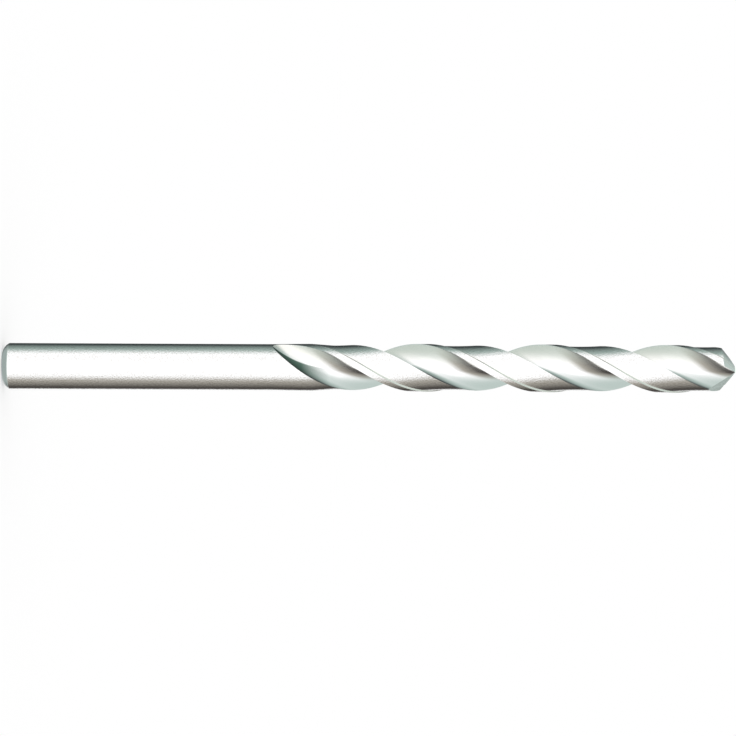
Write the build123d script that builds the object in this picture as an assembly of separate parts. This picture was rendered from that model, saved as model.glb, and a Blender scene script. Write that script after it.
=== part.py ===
"""Twist drill bit: a plain round shank, two right-hand helical flutes and a ground point.

The drill stands on its shank end: Z is its axis, z = 0 the flat of the shank end,
and the point is up.  The two cutting lips lie parallel to the Y axis.

Each cutter below is drawn in a lip frame: +X runs out along the first lip, +Y is the
way that lip cuts, and the frame turns with the helix.
"""
from build123d import *
import math
import os

# ---------------------------------------------------------------- driving dimensions (mm)
overall_length = 109.0        # shank end to chisel edge
flute_length = 69.0           # chisel edge back to where the flutes leave the surface
body_diameter = 7.1           # across the two margins
shank_diameter = 6.85
shank_chamfer = 0.8           # 45 degrees, on the shank end
body_cone_length = 9.4        # gentle cone from shank to body, under the flutes' run-out

flute_lead = 37.0             # axial length of one full turn
flute_opening = 91.0          # degrees that each flute takes of a cross-section
web_at_point = 1.05           # solid core between the flutes
web_growth = 0.012            # core thickness gained per mm towards the shank
wheel_radius = 20.0           # of the grinding wheel whose rim shapes the flute's run-out

margin_width = 0.9            # full-diameter strip behind each leading edge, square to it
land_clearance = 0.2          # depth of the land behind that strip
land_hollow = 0.1             # extra depth half-way across the land
land_run_in = 4.5             # axial length over which the land sinks to its depth

point_angle = 118.0           # between the two lips
lip_slope = 0.02              # fall of the flank just behind the lip, per mm
grind_half_angle = 26.0       # of the cone on which each flank is ground
grind_apex_offset = 10.0      # from the drill's axis back along the lip to the cone's apex
heel_relief_fall = 1.4        # steepness of the second flat behind each lip, per mm back
heel_relief_rise = 0.55       # its rise per mm out along the lip
heel_relief_start = 0.54      # behind the drill's axis, where that flat is level with the lips

station_count = 20            # steps between cross-sections along the full-depth flutes
rake_steps = 3                # steps between the points that draw a rake face
cutter_skim = 0.05            # gap over the blank where the land cutters start
cutter_reach = 1.0            # how far the cutters stand outside the blank
heel_overrun = 20.0           # degrees by which a cutter's heel wall runs on past the land
land_overrun = 23.0           # degrees by which a land cutter runs on past the heel
flank_drop = 2.0              # depth of the flank cutter below the outer end of its lip
seam_turn = 45.0              # puts the turned surfaces' seam inside a flute
fuse_tolerance = 0.002        # between the run-out and the flutes above it

# ---------------------------------------------------------------- values that follow
body_radius = body_diameter / 2
shank_radius = shank_diameter / 2
land_radius = body_radius - land_clearance
outside = body_radius + cutter_reach
flute_start = overall_length - flute_length
body_start = flute_start + body_cone_length
land_start = body_start - land_run_in
half_web_at_point = web_at_point / 2
lip_fall = 1 / math.tan(math.radians(point_angle / 2))
turn_per_mm = 2 * math.pi / flute_lead
helix_angle = math.atan(body_radius * turn_per_mm)
margin_turn = margin_width / math.cos(helix_angle) / body_radius
opening_turn = math.radians(flute_opening)
land_turn = math.pi - opening_turn
cut_depth = body_radius - half_web_at_point - web_growth * flute_length / 2
run_out = math.sqrt(wheel_radius ** 2 - (wheel_radius - cut_depth) ** 2)
full_cut = flute_start + run_out


# ---------------------------------------------------------------- point grinding
def grinding_cone():
    """Apex and axis of the cone that holds one lip as a straight line on its surface.

    The lip's line meets the plane x = 0 at z = 0.
    """
    lip = Vector(1, 0, -lip_fall).normalized()
    flank_normal = Vector(lip_fall, -lip_slope, 1).normalized()
    half_angle = math.radians(grind_half_angle)
    axis = lip * math.cos(half_angle) - flank_normal * math.sin(half_angle)
    apex = Vector(0, half_web_at_point, 0) - lip * grind_apex_offset
    return apex, axis


def chisel_depth():
    """How far below the height of the lip's line the cone crosses the drill's axis.

    On the cone (p . axis)^2 = spread * (p . p), with p measured from the apex, which
    is a quadratic in the height of p for a point on the drill's axis.
    """
    apex, axis = grinding_cone()
    spread = math.cos(math.radians(grind_half_angle)) ** 2
    lean = -apex.X * axis.X - apex.Y * axis.Y
    a = axis.Z ** 2 - spread
    b = 2 * lean * axis.Z
    c = lean ** 2 - spread * (apex.X ** 2 + apex.Y ** 2)
    root = math.sqrt(b ** 2 - 4 * a * c)
    height_over_apex = max((-b - root) / (2 * a), (-b + root) / (2 * a))
    return -apex.Z - height_over_apex


lip_height = overall_length + chisel_depth()
station_pitch = (lip_height - full_cut) / station_count


# ---------------------------------------------------------------- cross-sections
def polar(radius, angle):
    return Vector(radius * math.cos(angle), radius * math.sin(angle))


def half_web(z):
    return half_web_at_point + web_growth * (overall_length - z) / 2


def rake_point(reach, web):
    """The lip's point at this distance out from the web, carried back along the helix."""
    return Vector(reach, web).rotate(Axis.Z, math.degrees(turn_per_mm * lip_fall * reach))


def rake_face(radius, web):
    """The curve that makes the lip straight, from this radius in to the web."""
    reach = math.sqrt(radius ** 2 - web ** 2)
    reaches = [reach * i / rake_steps for i in range(rake_steps, -1, -1)]
    return Edge.make_spline([rake_point(r, web) for r in reaches])


def leading_edge_angle(web):
    edge = rake_face(body_radius, web) @ 0
    return math.atan2(edge.Y, edge.X)


def heel_wall(web, overrun):
    """The arc from the web up to the heel of the land ahead, and on past it."""
    heel = polar(land_radius, leading_edge_angle(web) + opening_turn)
    hollow_radius = (heel.X ** 2 + (heel.Y - web) ** 2) / (heel.Y - web) / 2
    centre = Vector(0, web + hollow_radius)
    sweep = math.degrees(math.pi / 2 + math.atan2(heel.Y - centre.Y, -heel.X)) + overrun
    return Edge.make_circle(hollow_radius, Plane(centre, x_dir=(0, -1, 0), z_dir=(0, 0, -1)), 0, sweep)


def land_floor(front, heel, radius, hollow):
    bottom = polar(radius - hollow, (front + heel) / 2)
    return Edge.make_three_point_arc(polar(radius, front), bottom, polar(radius, heel))


def arc_at(radius, start, end):
    middle = polar(radius, (start + end) / 2)
    return Edge.make_three_point_arc(polar(radius, start), middle, polar(radius, end))


def body_section(z):
    """The whole drill across the full-depth flutes: both lands, margins and flutes."""
    web = half_web(z)
    edge = leading_edge_angle(web)
    front = edge - margin_turn
    heel = edge - land_turn
    half = [
        rake_face(body_radius, web),
        heel_wall(web, 0),
        land_floor(front + math.pi, heel + math.pi, land_radius, land_hollow),
        Edge.make_line(polar(land_radius, front + math.pi), polar(body_radius, front + math.pi)),
        arc_at(body_radius, front + math.pi, edge + math.pi),
    ]
    return Wire(half + [part.rotate(Axis.Z, 180) for part in half])


def wheel_lift(z):
    """How far the wheel has left the work: its rim rises as a circle past the full cut."""
    past_full_cut = max(0.0, full_cut - z)
    return wheel_radius - math.sqrt(wheel_radius ** 2 - past_full_cut ** 2)


def flute_section(z):
    """One flute as the wheel cuts it, closed outside the blank."""
    web = half_web(z)
    rake = rake_face(outside, web)
    wall = heel_wall(web, heel_overrun)
    wall_out = (wall @ 1) + (wall % 1) * cutter_reach
    crown = ((rake @ 0) + wall_out).normalized() * (outside + cutter_reach)
    sides = [
        rake,
        wall,
        Edge.make_line(wall @ 1, wall_out),
        Edge.make_three_point_arc(wall_out, crown, rake @ 0),
    ]
    return Wire(sides).translate(Vector(0, wheel_lift(z)))


def land_section(z):
    """The space over one land, from its margin back past its heel into the next flute."""
    edge = leading_edge_angle(half_web(z))
    front = edge - margin_turn
    heel = edge - land_turn
    past_heel = heel - math.radians(land_overrun)
    sunk = min(1.0, max(0.0, (z - land_start) / land_run_in))
    radius = body_radius + cutter_skim - (land_clearance + cutter_skim) * sunk
    return Wire([
        Edge.make_line(polar(outside, front), polar(radius, front)),
        land_floor(front, heel, radius, land_hollow * sunk),
        arc_at(radius, heel, past_heel),
        Edge.make_line(polar(radius, past_heel), polar(outside, past_heel)),
        arc_at(outside, past_heel, front),
    ])


# ---------------------------------------------------------------- lofts and cutters
def along_helix(section, bottom, top):
    """Loft a cross-section up the drill, its leading edge on the helix at every station.

    The stations count from the height where the flutes reach full depth, so that the
    lofts that meet there share a cross-section.
    """
    lip_angle = leading_edge_angle(half_web_at_point)
    first = math.floor((bottom - full_cut) / station_pitch)
    last = round((top - full_cut) / station_pitch)
    wires = []
    for i in range(first, last + 1):
        z = full_cut + i * station_pitch
        turn = turn_per_mm * (z - lip_height) + lip_angle - leading_edge_angle(half_web(z))
        wires.append(section(z).rotate(Axis.Z, math.degrees(turn)).translate(Vector(0, 0, z)))
    return Solid.make_loft(wires)


def flank_cutter():
    """What lies outside the first lip's grinding cone, round the end of the drill."""
    apex, axis = grinding_cone()
    length = 3 * body_diameter
    foot = Plane(origin=apex + axis * length, z_dir=-axis)
    cone = Solid.make_cone(length * math.tan(math.radians(grind_half_angle)), 0, length)
    depth = lip_fall * body_radius + flank_drop
    block = Box(2 * body_diameter, 2 * body_diameter, depth + 2 * station_pitch,
                align=(Align.CENTER, Align.CENTER, Align.MIN))
    return Pos(0, 0, lip_height) * (Pos(0, 0, -depth) * block - foot * cone)


def heel_cutter():
    """What lies over the steep second flat of the first flank, which clears its heel."""
    flat = Plane(origin=(0, -heel_relief_start, lip_height),
                 z_dir=(-heel_relief_rise, -heel_relief_fall, 1))
    return flat * Box(4 * body_diameter, 4 * body_diameter, 2 * body_diameter,
                      align=(Align.CENTER, Align.CENTER, Align.MIN))


def both(cutter):
    """The cutter and its twin, half a turn round the drill."""
    return [cutter, Rot(0, 0, 180) * cutter]


# ---------------------------------------------------------------- the drill
def shank_and_run_out():
    """The turned blank up to the full-depth flutes, with the flutes and lands run out in it."""
    profile = Polyline(
        (0, 0),
        (shank_radius - shank_chamfer, 0),
        (shank_radius, shank_chamfer),
        (shank_radius, flute_start),
        (body_radius, body_start),
        (body_radius, full_cut),
        (0, full_cut),
        close=True,
    )
    blank = Rot(0, 0, seam_turn) * revolve(Plane.XZ * make_face(profile), Axis.Z)
    lands = along_helix(land_section, land_start, full_cut + station_pitch)
    flutes = along_helix(flute_section, flute_start, full_cut + station_pitch)
    return blank - both(lands) - both(flutes)


def fluted_point():
    """The full-depth flutes up to the ground point."""
    body = along_helix(body_section, full_cut, lip_height)
    return body - both(flank_cutter()) - both(heel_cutter())


def drill_bit():
    whole = shank_and_run_out().solid().fuse(fluted_point().solid(), glue=True, tol=fuse_tolerance)
    return Rot(0, 0, -90) * whole


os.makedirs("parts", exist_ok=True)
export_step(drill_bit(), "parts/drill_bit.step")
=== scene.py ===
# %% [markdown]
# # A twist drill
#
# A twist drill is one bar of hardened steel. Its shank is plain and round, two flutes wind
# up the rest of it, and its end is ground to a blunt point with two straight lips.
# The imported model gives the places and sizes. It is made of flat facets, so here the
# same drill is built again with a fine, regular mesh, and then given its ground finish.

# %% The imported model
import math

import bmesh
import bpy
from mathutils import Matrix, Vector


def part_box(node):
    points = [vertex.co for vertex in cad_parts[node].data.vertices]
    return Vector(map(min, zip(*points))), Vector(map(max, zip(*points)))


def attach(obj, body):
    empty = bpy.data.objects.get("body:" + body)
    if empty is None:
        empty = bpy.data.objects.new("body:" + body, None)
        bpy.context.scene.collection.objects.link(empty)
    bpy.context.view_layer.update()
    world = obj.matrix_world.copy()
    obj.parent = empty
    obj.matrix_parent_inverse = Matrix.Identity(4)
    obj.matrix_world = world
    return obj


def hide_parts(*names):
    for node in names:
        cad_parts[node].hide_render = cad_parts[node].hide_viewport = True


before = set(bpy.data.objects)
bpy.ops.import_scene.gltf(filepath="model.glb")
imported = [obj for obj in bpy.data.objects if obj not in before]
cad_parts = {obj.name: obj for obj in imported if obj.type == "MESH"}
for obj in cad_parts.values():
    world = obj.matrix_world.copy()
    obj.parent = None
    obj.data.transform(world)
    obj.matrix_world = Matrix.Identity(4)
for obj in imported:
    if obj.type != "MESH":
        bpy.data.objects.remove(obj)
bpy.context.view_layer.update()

MM = 0.001
low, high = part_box("drill_bit")
print("solid drill in the frame, mm:", [round((b - a) / MM, 2) for a, b in zip(low, high)])

# %% [markdown]
# ## Sizes
#
# All shaping is done in millimetres, the unit a drill is sized in, and the finished mesh
# is scaled to metres once. The length and the body's diameter are read off the frame, so
# the fine drill always fills the same box as the solid one. The other sizes belong to
# the way a drill is ground.

# %% Sizes of the drill
LENGTH = (high[2] - low[2]) / MM
BODY_RADIUS = (high[0] - low[0]) / 2 / MM
SHANK_RADIUS = 3.425
FLUTE_LENGTH = 69.0
BODY_CONE_LENGTH = 9.4         # gentle cone from shank to body
FLUTE_LEAD = 37.0              # axial length of one full turn
FLUTE_OPENING = math.radians(91.0)
HALF_WEB_AT_POINT = 0.525      # half the solid core between the flutes
WEB_GROWTH = 0.012             # core thickness gained per mm towards the shank
WHEEL_RADIUS = 20.0            # of the wheel whose rim shapes the flute's run-out
MARGIN_WIDTH = 0.9
LAND_CLEARANCE = 0.2
LAND_HOLLOW = 0.1
STEP_TURN = math.radians(3.3)  # slope of the step, as the wheel's corner leaves it
LAND_RUN_IN = 4.5
POINT_ANGLE = math.radians(118.0)
LIP_SLOPE = 0.02
GRIND_HALF_ANGLE = math.radians(26.0)
GRIND_APEX_OFFSET = 10.0
HEEL_RELIEF_FALL = 1.4         # steepness of the second flat behind each lip, per mm back
HEEL_RELIEF_RISE = 0.55        # its rise per mm out along the lip
HEEL_RELIEF_START = 0.54       # behind the axis, where that flat is level with the lips

LAND_RADIUS = BODY_RADIUS - LAND_CLEARANCE
FLUTE_START = LENGTH - FLUTE_LENGTH
BODY_START = FLUTE_START + BODY_CONE_LENGTH
TURN_PER_MM = 2 * math.pi / FLUTE_LEAD
MARGIN_TURN = MARGIN_WIDTH / math.cos(math.atan(BODY_RADIUS * TURN_PER_MM)) / BODY_RADIUS
LIP_FALL = 1 / math.tan(POINT_ANGLE / 2)
print("body radius", round(BODY_RADIUS, 3), "mm, length", round(LENGTH, 2), "mm")

# %% [markdown]
# ## The ground point
#
# Each flank of the point is part of a cone: the drill is rocked against the face of a
# wheel, once for each lip. A cone that holds the straight lip falls away behind it, which
# is the clearance that lets the lip cut. A second, steeper flat clears the heel. The
# height of the point anywhere is the lowest of these faces, and where the two cones meet
# is the chisel edge.

# %% Height of the ground flanks
lip_line = Vector((1, 0, -LIP_FALL)).normalized()
flank_normal = Vector((LIP_FALL, -LIP_SLOPE, 1)).normalized()
grind_axis = lip_line * math.cos(GRIND_HALF_ANGLE) - flank_normal * math.sin(GRIND_HALF_ANGLE)
grind_apex = Vector((0, HALF_WEB_AT_POINT, 0)) - lip_line * GRIND_APEX_OFFSET
spread = math.cos(GRIND_HALF_ANGLE) ** 2


def cone_height(x, y):
    """Height of the first lip's cone over this place, from the lip's line at x = 0."""
    px, py = x - grind_apex.x, y - grind_apex.y
    lean = px * grind_axis.x + py * grind_axis.y
    a = grind_axis.z ** 2 - spread
    b = 2 * lean * grind_axis.z
    c = lean ** 2 - spread * (px * px + py * py)
    root = math.sqrt(max(0.0, b * b - 4 * a * c))
    return grind_apex.z + max((-b - root) / (2 * a), (-b + root) / (2 * a))


def relief_height(x, y):
    """Height of the steep flat that clears the first lip's heel."""
    return HEEL_RELIEF_RISE * x + HEEL_RELIEF_FALL * (y + HEEL_RELIEF_START)


def flank_height(x, y):
    return min(cone_height(x, y), relief_height(x, y))


LIP_HEIGHT = LENGTH - flank_height(0, 0)


def point_height(x, y):
    return LIP_HEIGHT + min(flank_height(x, y), flank_height(-x, -y))


print("lips meet the web", round(LIP_HEIGHT, 3), "mm up; outer corners",
      round(point_height(BODY_RADIUS, HALF_WEB_AT_POINT), 3), "mm")

# %% [markdown]
# ## One slice of the drill
#
# A slice across the flutes has the same few curves twice, half a turn apart: the rake
# face from the leading edge in to the web, the hollow heel wall out to the heel, the
# cleared land, the small step up to the margin, and the margin itself. Every slice gets
# the same number of points on each curve. The points then run on from slice to slice,
# and each edge of the drill is an unbroken line of the mesh.

# %% Points round a slice
RAKE_STEPS = 18
WALL_STEPS = 28
LAND_STEPS = 20
STEP_STEPS = 2
MARGIN_STEPS = 12
HALF_STEPS = RAKE_STEPS + WALL_STEPS + LAND_STEPS + STEP_STEPS + MARGIN_STEPS
COLUMNS = 2 * HALF_STEPS


def half_web(z):
    return HALF_WEB_AT_POINT + WEB_GROWTH * (LENGTH - z) / 2


def polar(radius, angle):
    return Vector((radius * math.cos(angle), radius * math.sin(angle)))


def rake_point(reach, web):
    """The lip's point at this reach from the axis, carried back along the helix."""
    return polar(math.hypot(reach, web), math.atan2(web, reach) + TURN_PER_MM * LIP_FALL * reach)


def leading_edge_angle(web):
    edge = rake_point(math.sqrt(BODY_RADIUS ** 2 - web ** 2), web)
    return math.atan2(edge.y, edge.x)


def blank_radius(z):
    """The turned blank: the shank, the gentle cone and the body."""
    risen = min(1.0, max(0.0, (z - FLUTE_START) / BODY_CONE_LENGTH))
    return SHANK_RADIUS + (BODY_RADIUS - SHANK_RADIUS) * risen


def land_depth(z):
    """How far the land has sunk, from 0 on the shank to 1 along the flutes."""
    return min(1.0, max(0.0, (z - BODY_START + LAND_RUN_IN) / LAND_RUN_IN))


def land_radius(z):
    return min(blank_radius(z), BODY_RADIUS - LAND_CLEARANCE * land_depth(z))


cut_depth = BODY_RADIUS - half_web(FLUTE_START)
RUN_OUT = math.sqrt(WHEEL_RADIUS ** 2 - (WHEEL_RADIUS - cut_depth) ** 2)
FULL_CUT = FLUTE_START + RUN_OUT


def wheel_lift(z):
    """How far the wheel has left the work at this height."""
    past = min(RUN_OUT, max(0.0, FULL_CUT - z))
    return WHEEL_RADIUS - math.sqrt(WHEEL_RADIUS ** 2 - past ** 2)


print(COLUMNS, "points round a slice; flutes at full depth from", round(FULL_CUT, 2), "mm")

# %% [markdown]
# ## Where the flute leaves the surface
#
# Near the shank the wheel lifts out, so each flute gets shallower and narrower until it
# ends in a tip. A slice there holds only the part of the flute that lies inside the
# blank. The reach of the rake face is found by halving, the sweep of the heel wall by
# the cosine rule, and both close up to nothing at the tip.

# %% Reach of the flute in a slice
HALVINGS = 40


def halved(near, far, on_near_side):
    """Closes in, by halving, on the place between near and far where the answer changes."""
    for _ in range(HALVINGS):
        middle = (near + far) / 2
        if on_near_side(middle):
            near = middle
        else:
            far = middle
    return near, far


def rake_reach(web, lift, radius):
    """How far out the rake face runs before it meets the surface."""
    lifted = Vector((0, lift))
    return halved(0.0, 2 * BODY_RADIUS,
                  lambda reach: (rake_point(reach, web) + lifted).length < radius)[0]


def hollow_radius(web):
    """Radius of the heel wall, a circle that touches the web and passes the heel."""
    heel = polar(LAND_RADIUS, leading_edge_angle(web) + FLUTE_OPENING)
    return (heel.x ** 2 + (heel.y - web) ** 2) / (heel.y - web) / 2


def wall_sweep(web, lift, radius):
    """Angle of the heel wall's arc from the web to the surface."""
    hollow = hollow_radius(web)
    centre = web + hollow + lift
    cosine = (hollow ** 2 + centre ** 2 - radius ** 2) / (2 * hollow * centre)
    return math.acos(min(1.0, max(-1.0, cosine)))


def slice_turn(z):
    """Turn of a slice, which keeps the leading edges on a true helix."""
    z = max(z, FLUTE_START)
    return (TURN_PER_MM * (z - LIP_HEIGHT)
            + leading_edge_angle(HALF_WEB_AT_POINT) - leading_edge_angle(half_web(z)))


def slice_shape(z):
    """The measures that every point of one slice shares."""
    web, lift = half_web(max(z, FLUTE_START)), wheel_lift(z)
    outer, land = blank_radius(z), land_radius(z)
    inside = web + lift < land
    reach = rake_reach(web, lift, outer) if inside else 0.0
    sweep = wall_sweep(web, lift, land) if inside else 0.0
    edge = rake_point(reach, web) + Vector((0, lift))
    hollow = hollow_radius(web)
    heel = Vector((-hollow * math.sin(sweep), web + hollow * (1 - math.cos(sweep)) + lift))
    return {
        "web": web, "lift": lift, "outer": outer, "land": land, "reach": reach,
        "sweep": sweep, "hollow": hollow, "inside": inside,
        "edge_angle": math.atan2(edge.y, edge.x), "heel_angle": math.atan2(heel.y, heel.x),
        "front_angle": leading_edge_angle(web) - MARGIN_TURN + math.pi,
        "land_hollow": LAND_HOLLOW * land_depth(z), "turn": slice_turn(z),
    }


def slice_point(shape, column):
    """One point of a slice, in the plane, before the slice is turned."""
    half, step = divmod(column % COLUMNS, HALF_STEPS)
    lifted = Vector((0, shape["lift"]))
    if not shape["inside"] and step <= RAKE_STEPS + WALL_STEPS:
        point = polar(shape["outer"], math.pi / 2)
    elif step < RAKE_STEPS:
        point = rake_point(shape["reach"] * (1 - step / RAKE_STEPS), shape["web"]) + lifted
    elif step < RAKE_STEPS + WALL_STEPS:
        angle = shape["sweep"] * (step - RAKE_STEPS) / WALL_STEPS
        hollow = shape["hollow"]
        point = lifted + Vector((-hollow * math.sin(angle),
                                 shape["web"] + hollow * (1 - math.cos(angle))))
    elif step < RAKE_STEPS + WALL_STEPS + LAND_STEPS:
        along = (step - RAKE_STEPS - WALL_STEPS) / LAND_STEPS
        foot = shape["front_angle"] - STEP_TURN
        angle = shape["heel_angle"] + (foot - shape["heel_angle"]) * along
        point = polar(shape["land"] - shape["land_hollow"] * 4 * along * (1 - along), angle)
    elif step < HALF_STEPS - MARGIN_STEPS:
        up = (step - (HALF_STEPS - MARGIN_STEPS - STEP_STEPS)) / STEP_STEPS
        point = polar(shape["land"] + (shape["outer"] - shape["land"]) * up,
                      shape["front_angle"] - STEP_TURN * (1 - up))
    else:
        along = (step - (HALF_STEPS - MARGIN_STEPS)) / MARGIN_STEPS
        edge = shape["edge_angle"] + math.pi
        point = polar(shape["outer"], shape["front_angle"] + (edge - shape["front_angle"]) * along)
    return -point if half else point


def slice_place(shape, column, z):
    """The same point with its slice turned to its place on the helix."""
    point = slice_point(shape, column)
    c, s = math.cos(shape["turn"]), math.sin(shape["turn"])
    return Vector((c * point.x - s * point.y, s * point.x + c * point.y, z))


def flute_tip():
    """Height at which the lifted web meets the surface."""
    return halved(FLUTE_START, FULL_CUT, lambda z: not slice_shape(z)["inside"])[1]


FLUTE_TIP = flute_tip()
print("flutes end", round(FLUTE_TIP, 2), "mm up")

# %% [markdown]
# ## Rows up the drill
#
# The mesh is a sheet of squares rolled round the drill, one row of the sheet for each
# slice. The rows are the middle of the end face, the chamfer, the shank, the run-out,
# where they crowd together at the flute's tip, and the flutes. The last level slice lies
# just under the point. Above it every column runs on up its own helix until it meets the
# flank, and then in along the flank to the chisel edge.

# %% Heights of the rows
SHANK_ROWS = 24
RUN_OUT_ROWS = 44
FLUTE_ROW = 0.36               # spacing along the full-depth flutes
LEVEL_GAP = 3.0                # from the last level slice to the outer corners of the lips
TOP_ROWS = 16                  # from the last level slice to the flanks
FLANK_ROWS = 14                # in along the flanks to the chisel edge
END_ROWS = 10                  # over the shank end's worn chamfer
END_HEIGHT = 1.0               # mm that the rounded chamfer reaches up the shank
END_DEPTH = 1.5                # mm that it reaches in across the end
END_TURN = math.radians(62)    # how far round it bends before it meets the shank

run_out_heights = [FLUTE_TIP + (FULL_CUT - FLUTE_TIP) * (i / RUN_OUT_ROWS) ** 2
                   for i in range(RUN_OUT_ROWS + 1)]
last_level = point_height(BODY_RADIUS, HALF_WEB_AT_POINT) - LEVEL_GAP
flute_rows = round((last_level - FULL_CUT) / FLUTE_ROW)
flute_heights = [FULL_CUT + (last_level - FULL_CUT) * (i + 1) / flute_rows
                 for i in range(flute_rows)]
level_shapes = [(z, slice_shape(z)) for z in run_out_heights + flute_heights]
print(len(level_shapes), "slices across the flutes")

# %% [markdown]
# ## Rim of the point
#
# Where the flutes and the flanks cross is the rim, and it is the sharpest line of the
# drill: the lips are part of it. Each column climbs its own helix until it is level with
# the flank over it. The mesh then has an edge along the whole rim, and needs no cutting.

# %% Where each column meets a flank
POINT_REACH = 6.0              # the whole rim lies within this distance of the tip


def column_top(column):
    """Runs a column up its helix to the flank."""
    def under_flank(z):
        place = slice_place(slice_shape(z), column, z)
        return z < point_height(place.x, place.y)

    return halved(LENGTH - POINT_REACH, LIP_HEIGHT, under_flank)[0]


top_heights = [column_top(column) for column in range(HALF_STEPS)] * 2
rim = [slice_place(slice_shape(top_heights[c]), c, top_heights[c]) for c in range(COLUMNS)]
print("rim of the point:", round(min(top_heights), 2), "to", round(max(top_heights), 2), "mm")

# %% [markdown]
# ## Chisel edge and ridges
#
# The two flanks meet in the short chisel edge, which pushes through the work where the
# lips cannot cut. Lines run in from the rim to this edge. On some of them the steep flat
# gives way to the cone, and there a row of the mesh is laid on the ridge between the two.

# %% Ends of the chisel edge
RIDGE_MARGIN = 0.04            # the ridge's row keeps this share clear of either end


def chisel_end():
    """Where the two cones meet along the first lip."""
    web = HALF_WEB_AT_POINT
    near, _ = halved(-web, web, lambda x: flank_height(x, web) > flank_height(-x, -web))
    return Vector((near, web))


chisel = chisel_end()
print("chisel edge", round(2 * chisel.length, 2), "mm long, at",
      round(math.degrees(math.atan2(chisel.y, chisel.x))), "degrees to the lips")


def flank_line(column, along):
    """A place on the line from the rim to the chisel edge."""
    start_of_half = (column + HALF_STEPS - RAKE_STEPS) % COLUMNS
    half, step = divmod(start_of_half, HALF_STEPS)
    down_the_edge = 1 - 2 * step / HALF_STEPS
    on_chisel = chisel * (down_the_edge if half else -down_the_edge)
    return rim[column].xy.lerp(on_chisel, along)


def ridge_share(column):
    """How far along that line the steep flat gives way to the cone, if it meets it."""
    def on_flat(along):
        place = flank_line(column, along)
        sides = [(place.x, place.y), (-place.x, -place.y)]
        return min(relief_height(x, y) - cone_height(x, y) for x, y in sides) < 0

    if not on_flat(0.0):
        return 0.5
    return min(1 - RIDGE_MARGIN, max(RIDGE_MARGIN, halved(0.0, 1.0, on_flat)[0]))


ridge = [ridge_share(column) for column in range(COLUMNS)]


def flank_place(column, row):
    """A point of a flank. Half of the rows end on the ridge between cone and flat."""
    half_rows = FLANK_ROWS / 2
    if row <= half_rows:
        along = ridge[column] * row / half_rows
    else:
        along = ridge[column] + (1 - ridge[column]) * (row / half_rows - 1)
    place = flank_line(column, along)
    return Vector((place.x, place.y, point_height(place.x, place.y)))


# %% [markdown]
# ## Rolling the sheet round the drill
#
# A grid gives the sheet of squares, and each of its points moves to its row and column on
# the drill. The sheet's two side edges then lie on each other, and so do the columns of
# the flute where it has closed up at its tip, so merging doubles closes the skin. The
# edges that a wheel leaves sharp are found by the angle between their faces.

# %% Rows of the sheet
CAP_ROWS = 2                   # the middle of the end face and one ring round it
FIRST_FLUTE_ROW = CAP_ROWS + END_ROWS + SHANK_ROWS
LAST_FLUTE_ROW = FIRST_FLUTE_ROW + len(level_shapes) + TOP_ROWS
shank_shape = slice_shape(FLUTE_TIP)


def shank_place(column, radius, z):
    place = slice_place(shank_shape, column, z)
    flat = place.xy.normalized() * radius
    return Vector((flat.x, flat.y, z))


def end_rows():
    """The flat end face and the worn chamfer round it."""
    rows = [lambda c, r=radius: shank_place(c, r, 0.0)
            for radius in (0.0, (SHANK_RADIUS - END_DEPTH) / 2)]
    for i in range(END_ROWS + 1):
        turn = END_TURN * i / END_ROWS
        z = END_HEIGHT * (1 - math.cos(turn)) / (1 - math.cos(END_TURN))
        radius = SHANK_RADIUS - END_DEPTH * (1 - math.sin(turn) / math.sin(END_TURN))
        rows.append(lambda c, r=radius, z=z: shank_place(c, r, z))
    return rows


def rising_place(column, i):
    """A point between the last level slice and the rim."""
    z = last_level + (top_heights[column] - last_level) * i / TOP_ROWS
    return slice_place(slice_shape(z), column, z)


def drill_rows():
    """Every row of the sheet, as a function from a column to a place."""
    rows = end_rows()
    for i in range(1, SHANK_ROWS):
        z = END_HEIGHT + (FLUTE_TIP - END_HEIGHT) * i / SHANK_ROWS
        rows.append(lambda c, z=z: shank_place(c, blank_radius(z), z))
    for z, shape in level_shapes:
        rows.append(lambda c, z=z, s=shape: slice_place(s, c, z))
    for i in range(1, TOP_ROWS + 1):
        rows.append(lambda c, i=i: rising_place(c % COLUMNS, i))
    for i in range(1, FLANK_ROWS + 1):
        rows.append(lambda c, i=i: flank_place(c % COLUMNS, i))
    return rows


rows = drill_rows()
print(len(rows), "rows from the shank's end to the chisel edge")

# %% [markdown]
# ## Zones of finish and painted reflection
#
# A drill isn't equally bright all over. The shank and lands are ground and the flutes are
# smoother. The rake faces are rougher, less metallic and warm-tinted near the cutting
# edge, and so is the small step up to the margin: a painted warm reflection. A strip
# beside the heel of each run-out is rougher still and painted dark teal, a painted dark
# reflection. Nothing has brightened the shank's end. Each zone is a number from 0 to 1
# kept on the points of the mesh, which the steel reads later. Painting by number keeps the
# zones exactly on the edges of the shape.

# %% Shares of the zones
# The strip inside each run-out's heel is painted dark teal and made rougher: a painted dark
# reflection.
PAINTED_REFLECTION_STRIP_WIDTH = 3.2              # mm across the painted dark reflection inside the run-out's heel
PAINTED_REFLECTION_STRIP_FULL = 44.4              # mm up the drill, where the strip starts to fade
PAINTED_REFLECTION_STRIP_END = 48.6               # and where it has faded
RAKE_FULLY_PAINTED = 1 / 3              # share of the rake face, from its edge, with the full painted warm reflection
# share of the painted warm reflection, and of the rake's roughness, on the step up to the margin
STEP_PAINTED_REFLECTION = 0.9


def in_flute(row, step):
    """Whether this point of the sheet is on the polished wall of a flute."""
    return FIRST_FLUTE_ROW < row < LAST_FLUTE_ROW and 0 < step < RAKE_STEPS + WALL_STEPS


def on_margin_step(row, step):
    foot = HALF_STEPS - MARGIN_STEPS - STEP_STEPS
    return row > FIRST_FLUTE_ROW and foot <= step <= foot + STEP_STEPS


def rake_painted_reflection_share(step):
    """Painted warm reflection: full near the cutting edge, fading to nothing at the web."""
    return min(1.0, max(0.0, (1 - step / RAKE_STEPS) / (1 - RAKE_FULLY_PAINTED)))


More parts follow.
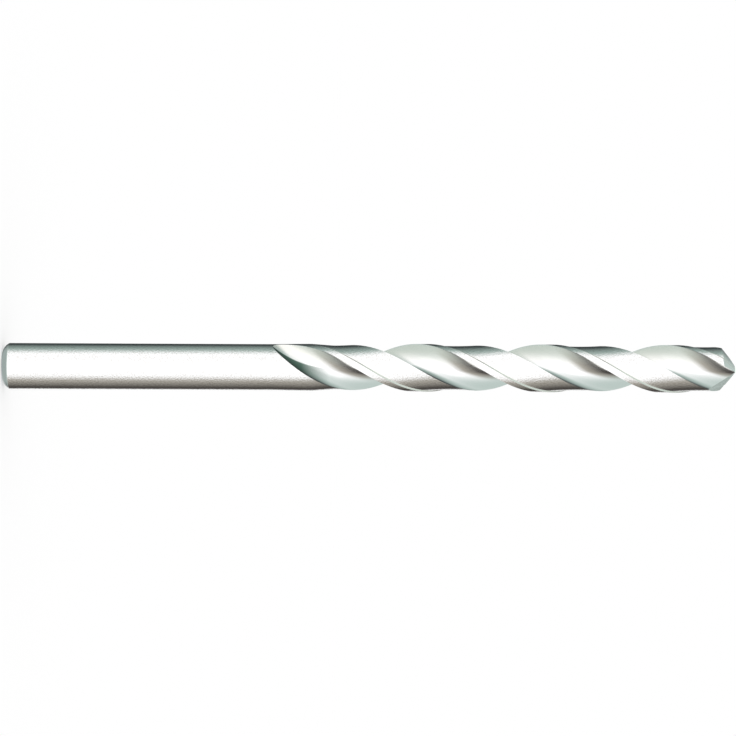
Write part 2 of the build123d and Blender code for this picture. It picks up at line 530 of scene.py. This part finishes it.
def painted_reflection_strip_share(z, step):
    """The painted dark reflection runs along the run-out's heel and fades up the flute."""
    if step < RAKE_STEPS:
        return 0.0
    shape = slice_shape(z)
    to_heel = shape["hollow"] * shape["sweep"] * (1 - (step - RAKE_STEPS) / WALL_STEPS)
    if to_heel > PAINTED_REFLECTION_STRIP_WIDTH:
        return 0.0
    return min(1.0, max(0.0, (PAINTED_REFLECTION_STRIP_END - z) / (PAINTED_REFLECTION_STRIP_END - PAINTED_REFLECTION_STRIP_FULL)))


def zones(row, step, z):
    """The share of each zone at one point of the sheet."""
    flute = in_flute(row, step)
    rake_and_step_painted_reflection = rake_painted_reflection_share(step) if flute else 0.0
    # the step up to the margin gets the same painted warm reflection
    if on_margin_step(row, step):
        rake_and_step_painted_reflection = STEP_PAINTED_REFLECTION * land_depth(z)
    return {"ground": 0.0 if flute else 1.0, "rake_and_step_painted_reflection": rake_and_step_painted_reflection,
            "end": 1.0 if row < CAP_ROWS + END_ROWS else 0.0,
            "painted_reflection_strip": painted_reflection_strip_share(z, step) if flute else 0.0}


print("zones:", ", ".join(zones(0, 0, 0.0)))

# %% The fine drill
SEAM = 0.0005                  # mm, points closer than this become one
TURN_IN_FRAME = -math.pi / 2   # from the lips along x to where they stand in the frame


def rolled_sheet():
    bm = bmesh.new()
    layers = {name: bm.verts.layers.float.new(name)
              for name in ("ground", "rake_and_step_painted_reflection", "end", "painted_reflection_strip")}
    last_row = len(rows) - 1
    bmesh.ops.create_grid(bm, x_segments=COLUMNS, y_segments=last_row, size=1)
    for vert in bm.verts:
        column = round((vert.co.x + 1) / 2 * COLUMNS)
        row = round((vert.co.y + 1) / 2 * last_row)
        vert.co = rows[row](column)
        for name, share in zones(row, column % HALF_STEPS, vert.co.z).items():
            vert[layers[name]] = share
    bmesh.ops.remove_doubles(bm, verts=bm.verts, dist=SEAM)
    bmesh.ops.rotate(bm, verts=bm.verts, cent=(0, 0, 0),
                     matrix=Matrix.Rotation(TURN_IN_FRAME, 3, "Z"))
    return bm


sheet = rolled_sheet()
print("rolled sheet:", len(sheet.verts), "points")

# %% [markdown]
# ## Ground steel
#
# A bare metal is a mirror with a colour: all of it metallic, and the roughness says how
# sharp the mirror is. Noise on the object's own coordinates gives the rest, and so it
# stays on the drill from every side: fine marks of the wheel as a bump, slow changes of
# sheen as roughness, and small dull specks in the colour. The zones then add their own
# share of roughness, less metal and tint. On the rake faces, the margin step and the strip
# by the run-out's heel, that tint is a painted reflection.

# %% Measures of the finish
STEEL = 0.94                   # share of the light that the bright steel gives back
GRAIN = 0.22                   # mm between the marks that the wheel leaves
GRAIN_DEPTH = 0.028            # mm, on the shank and the lands
POLISHED_DEPTH = 0.003         # mm, in the flutes
PATCH = 6.0                    # mm, slow changes of sheen
SHEEN = (0.08, 0.15)           # roughness, from the brightest to the dullest patch
SPECKLE = 0.22                 # mm between the dull specks of the ground zones
SPECKLE_TINT = (0.81, 0.80, 0.79, 1)
RAKE_ROUGHNESS = 0.10          # added on the rake face, behind the cutting edge
RAKE_METAL_LOSS = 0.20            # metal taken off that face, part of its painted warm reflection
# warm tint of the rake faces and the margin step: a painted warm reflection
RAKE_PAINTED_REFLECTION_TINT = (0.93, 0.92, 0.87, 1)
PAINTED_REFLECTION_STRIP_ROUGHNESS = 0.25         # added on the strip beside the run-out's heel
# dark teal of that strip: a painted dark reflection
PAINTED_REFLECTION_STRIP_TINT = (0.13, 0.20, 0.165, 1)
END_TINT = (0.62, 0.62, 0.63, 1)  # the shank end, which no wheel has brightened
print("wheel marks", GRAIN, "mm apart and", GRAIN_DEPTH, "mm deep")

# %% Small helpers for the nodes
steel = bpy.data.materials.new("ground_steel")
steel.use_nodes = True
nodes, links = steel.node_tree.nodes, steel.node_tree.links
coords = nodes.new("ShaderNodeTexCoord")


def zone(name):
    """The share of a zone, read from the points of the mesh."""
    found = nodes.new("ShaderNodeAttribute")
    found.attribute_name = name
    return found.outputs["Fac"]


def noise(spacing, detail):
    made = nodes.new("ShaderNodeTexNoise")
    made.inputs["Scale"].default_value = 1 / (spacing * MM)
    made.inputs["Detail"].default_value = detail
    links.new(coords.outputs["Object"], made.inputs["Vector"])
    return made.outputs["Fac"]


def mapped(value, start, end, low_value, high_value):
    """Stretches the values between start and end over a new range."""
    made = nodes.new("ShaderNodeMapRange")
    names = ("From Min", "From Max", "To Min", "To Max")
    for name, number in zip(names, (start, end, low_value, high_value)):
        made.inputs[name].default_value = number
    links.new(value, made.inputs["Value"])
    return made.outputs["Result"]


def maths(operation, *values):
    """One sum, whose values are sockets or numbers."""
    made = nodes.new("ShaderNodeMath")
    made.operation = operation
    for socket, value in zip(made.inputs, values):
        if isinstance(value, float):
            socket.default_value = value
        else:
            links.new(value, socket)
    return made.outputs["Value"]


def tinted(colour, share, tint):
    mix = nodes.new("ShaderNodeMix")
    mix.data_type = "RGBA"
    mix.inputs["B"].default_value = tint
    links.new(colour, mix.inputs["A"])
    links.new(share, mix.inputs["Factor"])
    return mix.outputs["Result"]


print("helpers for", steel.name)

# %% The steel's nodes
shader = nodes["Principled BSDF"]
shader.inputs["Metallic"].default_value = 1.0
ground, rake_and_step_painted_reflection, painted_reflection_strip = zone("ground"), zone("rake_and_step_painted_reflection"), zone("painted_reflection_strip")

sheen = mapped(noise(PATCH, 3.0), 0.3, 0.7, *SHEEN)
sheen = maths("MULTIPLY_ADD", rake_and_step_painted_reflection, RAKE_ROUGHNESS, sheen)
sheen = maths("MULTIPLY_ADD", painted_reflection_strip, PAINTED_REFLECTION_STRIP_ROUGHNESS, sheen)
links.new(sheen, shader.inputs["Roughness"])
# less metal on the rake faces and the margin step, part of their painted warm reflection
links.new(maths("MULTIPLY_ADD", rake_and_step_painted_reflection, -RAKE_METAL_LOSS, 1.0), shader.inputs["Metallic"])

bright = nodes.new("ShaderNodeRGB")
bright.outputs[0].default_value = (STEEL, STEEL, STEEL, 1)
specks = maths("MULTIPLY", mapped(noise(SPECKLE, 0.0), 0.45, 0.75, 0.0, 1.0), ground)
colour = tinted(bright.outputs[0], specks, SPECKLE_TINT)
# painted warm reflection on the rake faces and the margin step
colour = tinted(colour, rake_and_step_painted_reflection, RAKE_PAINTED_REFLECTION_TINT)
# painted dark reflection in the strip by the run-out's heel
colour = tinted(colour, painted_reflection_strip, PAINTED_REFLECTION_STRIP_TINT)
links.new(tinted(colour, zone("end"), END_TINT), shader.inputs["Base Color"])

depth = mapped(ground, 0.0, 1.0, POLISHED_DEPTH, GRAIN_DEPTH)
bump = nodes.new("ShaderNodeBump")
bump.inputs["Strength"].default_value = 1.0
bump.inputs["Distance"].default_value = MM
links.new(maths("MULTIPLY", noise(GRAIN, 1.0), depth), bump.inputs["Height"])
links.new(bump.outputs["Normal"], shader.inputs["Normal"])
print("the steel has", len(nodes), "nodes")

# %% [markdown]
# ## Shading and placing the drill
#
# Smooth shading makes the squares read as one curved skin, so every edge that a wheel
# really leaves sharp has to be marked as sharp. The mesh is then scaled to metres. It
# takes the place of the flat-faceted solid, and rides on the same body.

# %% The drill as an object
SHARP = math.radians(24)       # faces that meet at more than this keep a crisp edge


def finish_mesh(bm, name, material):
    """Scales a mesh to metres, shades it and makes it an object."""
    bmesh.ops.scale(bm, vec=(MM, MM, MM), verts=bm.verts)
    bmesh.ops.recalc_face_normals(bm, faces=bm.faces)
    for face in bm.faces:
        face.smooth = True
    for edge in bm.edges:
        edge.smooth = edge.calc_face_angle(0.0) < SHARP
    mesh = bpy.data.meshes.new(name)
    bm.to_mesh(mesh)
    bm.free()
    mesh.materials.append(material)
    piece = bpy.data.objects.new(name, mesh)
    bpy.context.scene.collection.objects.link(piece)
    return piece


drill = finish_mesh(sheet, "drill", steel)
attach(drill, "root")
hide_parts("drill_bit")
print("drill:", len(drill.data.polygons), "faces")

# %% [markdown]
# ## Pale floor
#
# The floor is one big matte square. It glows a little, so that it comes out as white as
# the backdrop except where the drill keeps light from it.

# %% Stage
FLOOR_SIZE = 4000              # mm, half the width of the floor
FLOOR_GRAY = (0.5, 0.5, 0.5, 1)
FLOOR_GLOW = 0.5


def floor_material():
    material = bpy.data.materials.new("pale_floor")
    material.use_nodes = True
    inputs = material.node_tree.nodes["Principled BSDF"].inputs
    inputs["Base Color"].default_value = FLOOR_GRAY
    inputs["Roughness"].default_value = 1.0
    inputs["Specular IOR Level"].default_value = 0.0
    inputs["Emission Color"].default_value = (1, 1, 1, 1)
    inputs["Emission Strength"].default_value = FLOOR_GLOW
    return material


def stage_floor():
    bm = bmesh.new()
    bmesh.ops.create_grid(bm, x_segments=1, y_segments=1, size=FLOOR_SIZE)
    bmesh.ops.scale(bm, vec=(MM, MM, MM), verts=bm.verts)
    mesh = bpy.data.meshes.new("floor")
    bm.to_mesh(mesh)
    bm.free()
    mesh.materials.append(floor_material())
    made = bpy.data.objects.new("floor", mesh)
    bpy.context.scene.collection.objects.link(made)
    return made


floor = stage_floor()
print("floor", 2 * FLOOR_SIZE * MM, "m across")

# %% [markdown]
# ## A plain studio
#
# Bright steel has hardly a colour of its own: what is seen on it is the room. So the room
# here is a white tent with three plain cards in it: a dark one above and behind, which
# fades through a cool gray, a warm gray table below, and the table's dark far edge. Only
# reflections see it. Towards the two ends of the drill it fades into one pale gray wall.
# The drill and the floor are left out of the reflections. That keeps the cards clean in
# the deep flutes, where real steel would also show its own far wall.

# %% Cards round the drill
CAMERA_TURN = math.radians(-73.5)     # where the camera stands round the drill
SIDE_TURN = CAMERA_TURN - math.pi / 2  # the direction that is up in the image
GLARE = 1.15                   # light of the tent's cloth, a little over white
WHITE = (1.0, 1.0, 1.0, 1)
COOL_GRAY = (0.30, 0.38, 0.35, 1)
DARK_CARD = (0.04, 0.05, 0.05, 1)
TABLE = (0.36, 0.34, 0.30, 1)
TABLE_EDGE = (0.06, 0.055, 0.05, 1)
END_WALL = (0.46, 0.54, 0.51, 1)
WALL_START, WALL_FULL = 10, 50  # degrees of elevation over which the end walls take over
START_ANGLE = -110
# angle round the drill in degrees, from the image's top side towards the camera
CARDS = [(-110, WHITE), (-80, DARK_CARD), (-50, DARK_CARD), (-5, COOL_GRAY), (25, WHITE),
         (135, WHITE), (165, TABLE), (215, TABLE_EDGE), (240, TABLE_EDGE), (250, WHITE)]
print(len(CARDS), "stops round the tent")

# %% The tent as seen by reflections
world = bpy.data.worlds.new("studio")
bpy.context.scene.world = world
world.use_nodes = True
nodes, links = world.node_tree.nodes, world.node_tree.links


def angle_round_drill(direction):
    """From 0 to 1 round the drill, counted from the start angle."""
    mapping = nodes.new("ShaderNodeMapping")
    start = -SIDE_TURN - math.radians(START_ANGLE + 180)
    mapping.inputs["Rotation"].default_value = (0, 0, start)
    radial = nodes.new("ShaderNodeTexGradient")
    radial.gradient_type = "RADIAL"
    links.new(direction, mapping.inputs["Vector"])
    links.new(mapping.outputs["Vector"], radial.inputs["Vector"])
    return radial.outputs["Fac"]


def elevation(direction):
    split = nodes.new("ShaderNodeSeparateXYZ")
    rise = nodes.new("ShaderNodeMath")
    rise.operation = "ARCSINE"
    links.new(direction, split.inputs["Vector"])
    links.new(split.outputs["Z"], rise.inputs[0])
    return rise.outputs[0]


def card_ramp(angle):
    ramp = nodes.new("ShaderNodeValToRGB")
    elements = ramp.color_ramp.elements
    while len(elements) < len(CARDS):
        elements.new(0.5)
    for element, (degrees, tone) in zip(elements, CARDS):
        element.position = (degrees - START_ANGLE) / 360
        element.color = tone
    links.new(angle, ramp.inputs["Fac"])
    return ramp.outputs["Color"]


def faded(below, above, height, start, end):
    """Fades from one colour to another between two elevations."""
    share = nodes.new("ShaderNodeMapRange")
    share.interpolation_type = "SMOOTHSTEP"
    share.inputs["From Min"].default_value = math.radians(start)
    share.inputs["From Max"].default_value = math.radians(end)
    links.new(height, share.inputs["Value"])
    mix = nodes.new("ShaderNodeMix")
    mix.data_type = "RGBA"
    links.new(share.outputs["Result"], mix.inputs["Factor"])
    links.new(below, mix.inputs["A"])
    links.new(above, mix.inputs["B"])
    return mix.outputs["Result"]


direction = nodes.new("ShaderNodeTexCoord").outputs["Generated"]
height = elevation(direction)
wall = nodes.new("ShaderNodeRGB").outputs[0]
wall.default_value = END_WALL
tent = faded(wall, card_ramp(angle_round_drill(direction)), height, -WALL_FULL, -WALL_START)
tent = faded(tent, wall, height, WALL_START, WALL_FULL)
print("the tent has", len(nodes), "nodes")

# %% White backdrop for everything else
plain = nodes["Background"]
plain.inputs["Color"].default_value = WHITE
seen = nodes.new("ShaderNodeBackground")
seen.inputs["Strength"].default_value = GLARE
links.new(tent, seen.inputs["Color"])
path = nodes.new("ShaderNodeLightPath")
choose = nodes.new("ShaderNodeMixShader")
links.new(path.outputs["Is Glossy Ray"], choose.inputs["Fac"])
links.new(plain.outputs["Background"], choose.inputs[1])
links.new(seen.outputs["Background"], choose.inputs[2])
links.new(choose.outputs["Shader"], nodes["World Output"].inputs["Surface"])
for piece in (floor, drill):
    piece.visible_glossy = False
print("white for the camera, the tent for reflections")

# %% [markdown]
# ## Camera and lamp
#
# The drill lies across the image with its tip to the right, so the camera's right-hand
# side points up the drill. A long lens far away shows the drill almost without
# perspective. A large soft lamp stands on the camera's side and only adds a little light.

# %% Camera
CAMERA_DISTANCE = 409.0        # mm
CAMERA_HEIGHT = 54.34          # mm up the drill
CAMERA_TILT = 0.0045           # radians, of the drill in the image
CAMERA_DROP = 0.06             # mm, towards the lower side of the image
SENSOR = 36.0                  # mm
IMAGE_SIZE = 736               # pixels
PIXELS_PER_MM = 6.717          # at the drill
Z_AXIS = Vector((0, 0, 1))


def linked(name, data):
    made = bpy.data.objects.new(name, data)
    bpy.context.scene.collection.objects.link(made)
    return made


toward_camera = Vector((math.cos(CAMERA_TURN), math.sin(CAMERA_TURN), 0))
side = Vector((math.cos(SIDE_TURN), math.sin(SIDE_TURN), 0))
right = Z_AXIS * math.cos(CAMERA_TILT) + side * math.sin(CAMERA_TILT)
up = side * math.cos(CAMERA_TILT) - Z_AXIS * math.sin(CAMERA_TILT)
place = toward_camera * CAMERA_DISTANCE + Z_AXIS * CAMERA_HEIGHT - side * CAMERA_DROP
camera_data = bpy.data.cameras.new("camera")
camera_data.sensor_width = SENSOR
camera_data.lens = SENSOR * CAMERA_DISTANCE / (IMAGE_SIZE / PIXELS_PER_MM)
camera_data.clip_start, camera_data.clip_end = 0.01, 10
camera = linked("camera", camera_data)
camera.matrix_world = Matrix.Translation(place * MM) @ Matrix(
    (right, up, toward_camera)).transposed().to_4x4()
bpy.context.scene.camera = camera
bpy.context.scene.view_settings.view_transform = "Standard"
print("lens", round(camera_data.lens, 1), "mm")

# %% Lamp
LAMP_SIZE = 0.5                # m
LAMP_STRENGTH = 0.10           # brightness of its face, where white is 1
LAMP_DISTANCE = 0.45           # m from the drill's axis
LAMP_HEIGHT = 0.055            # m up the drill
lamp_data = bpy.data.lights.new("softbox", "AREA")
lamp_data.size = LAMP_SIZE
lamp_data.energy = LAMP_STRENGTH * math.pi * LAMP_SIZE ** 2
lamp = linked("softbox", lamp_data)
lamp.matrix_world = camera.matrix_world.copy()
lamp.location = toward_camera * LAMP_DISTANCE + Z_AXIS * LAMP_HEIGHT
print("lamp of", round(lamp_data.energy, 3), "W")
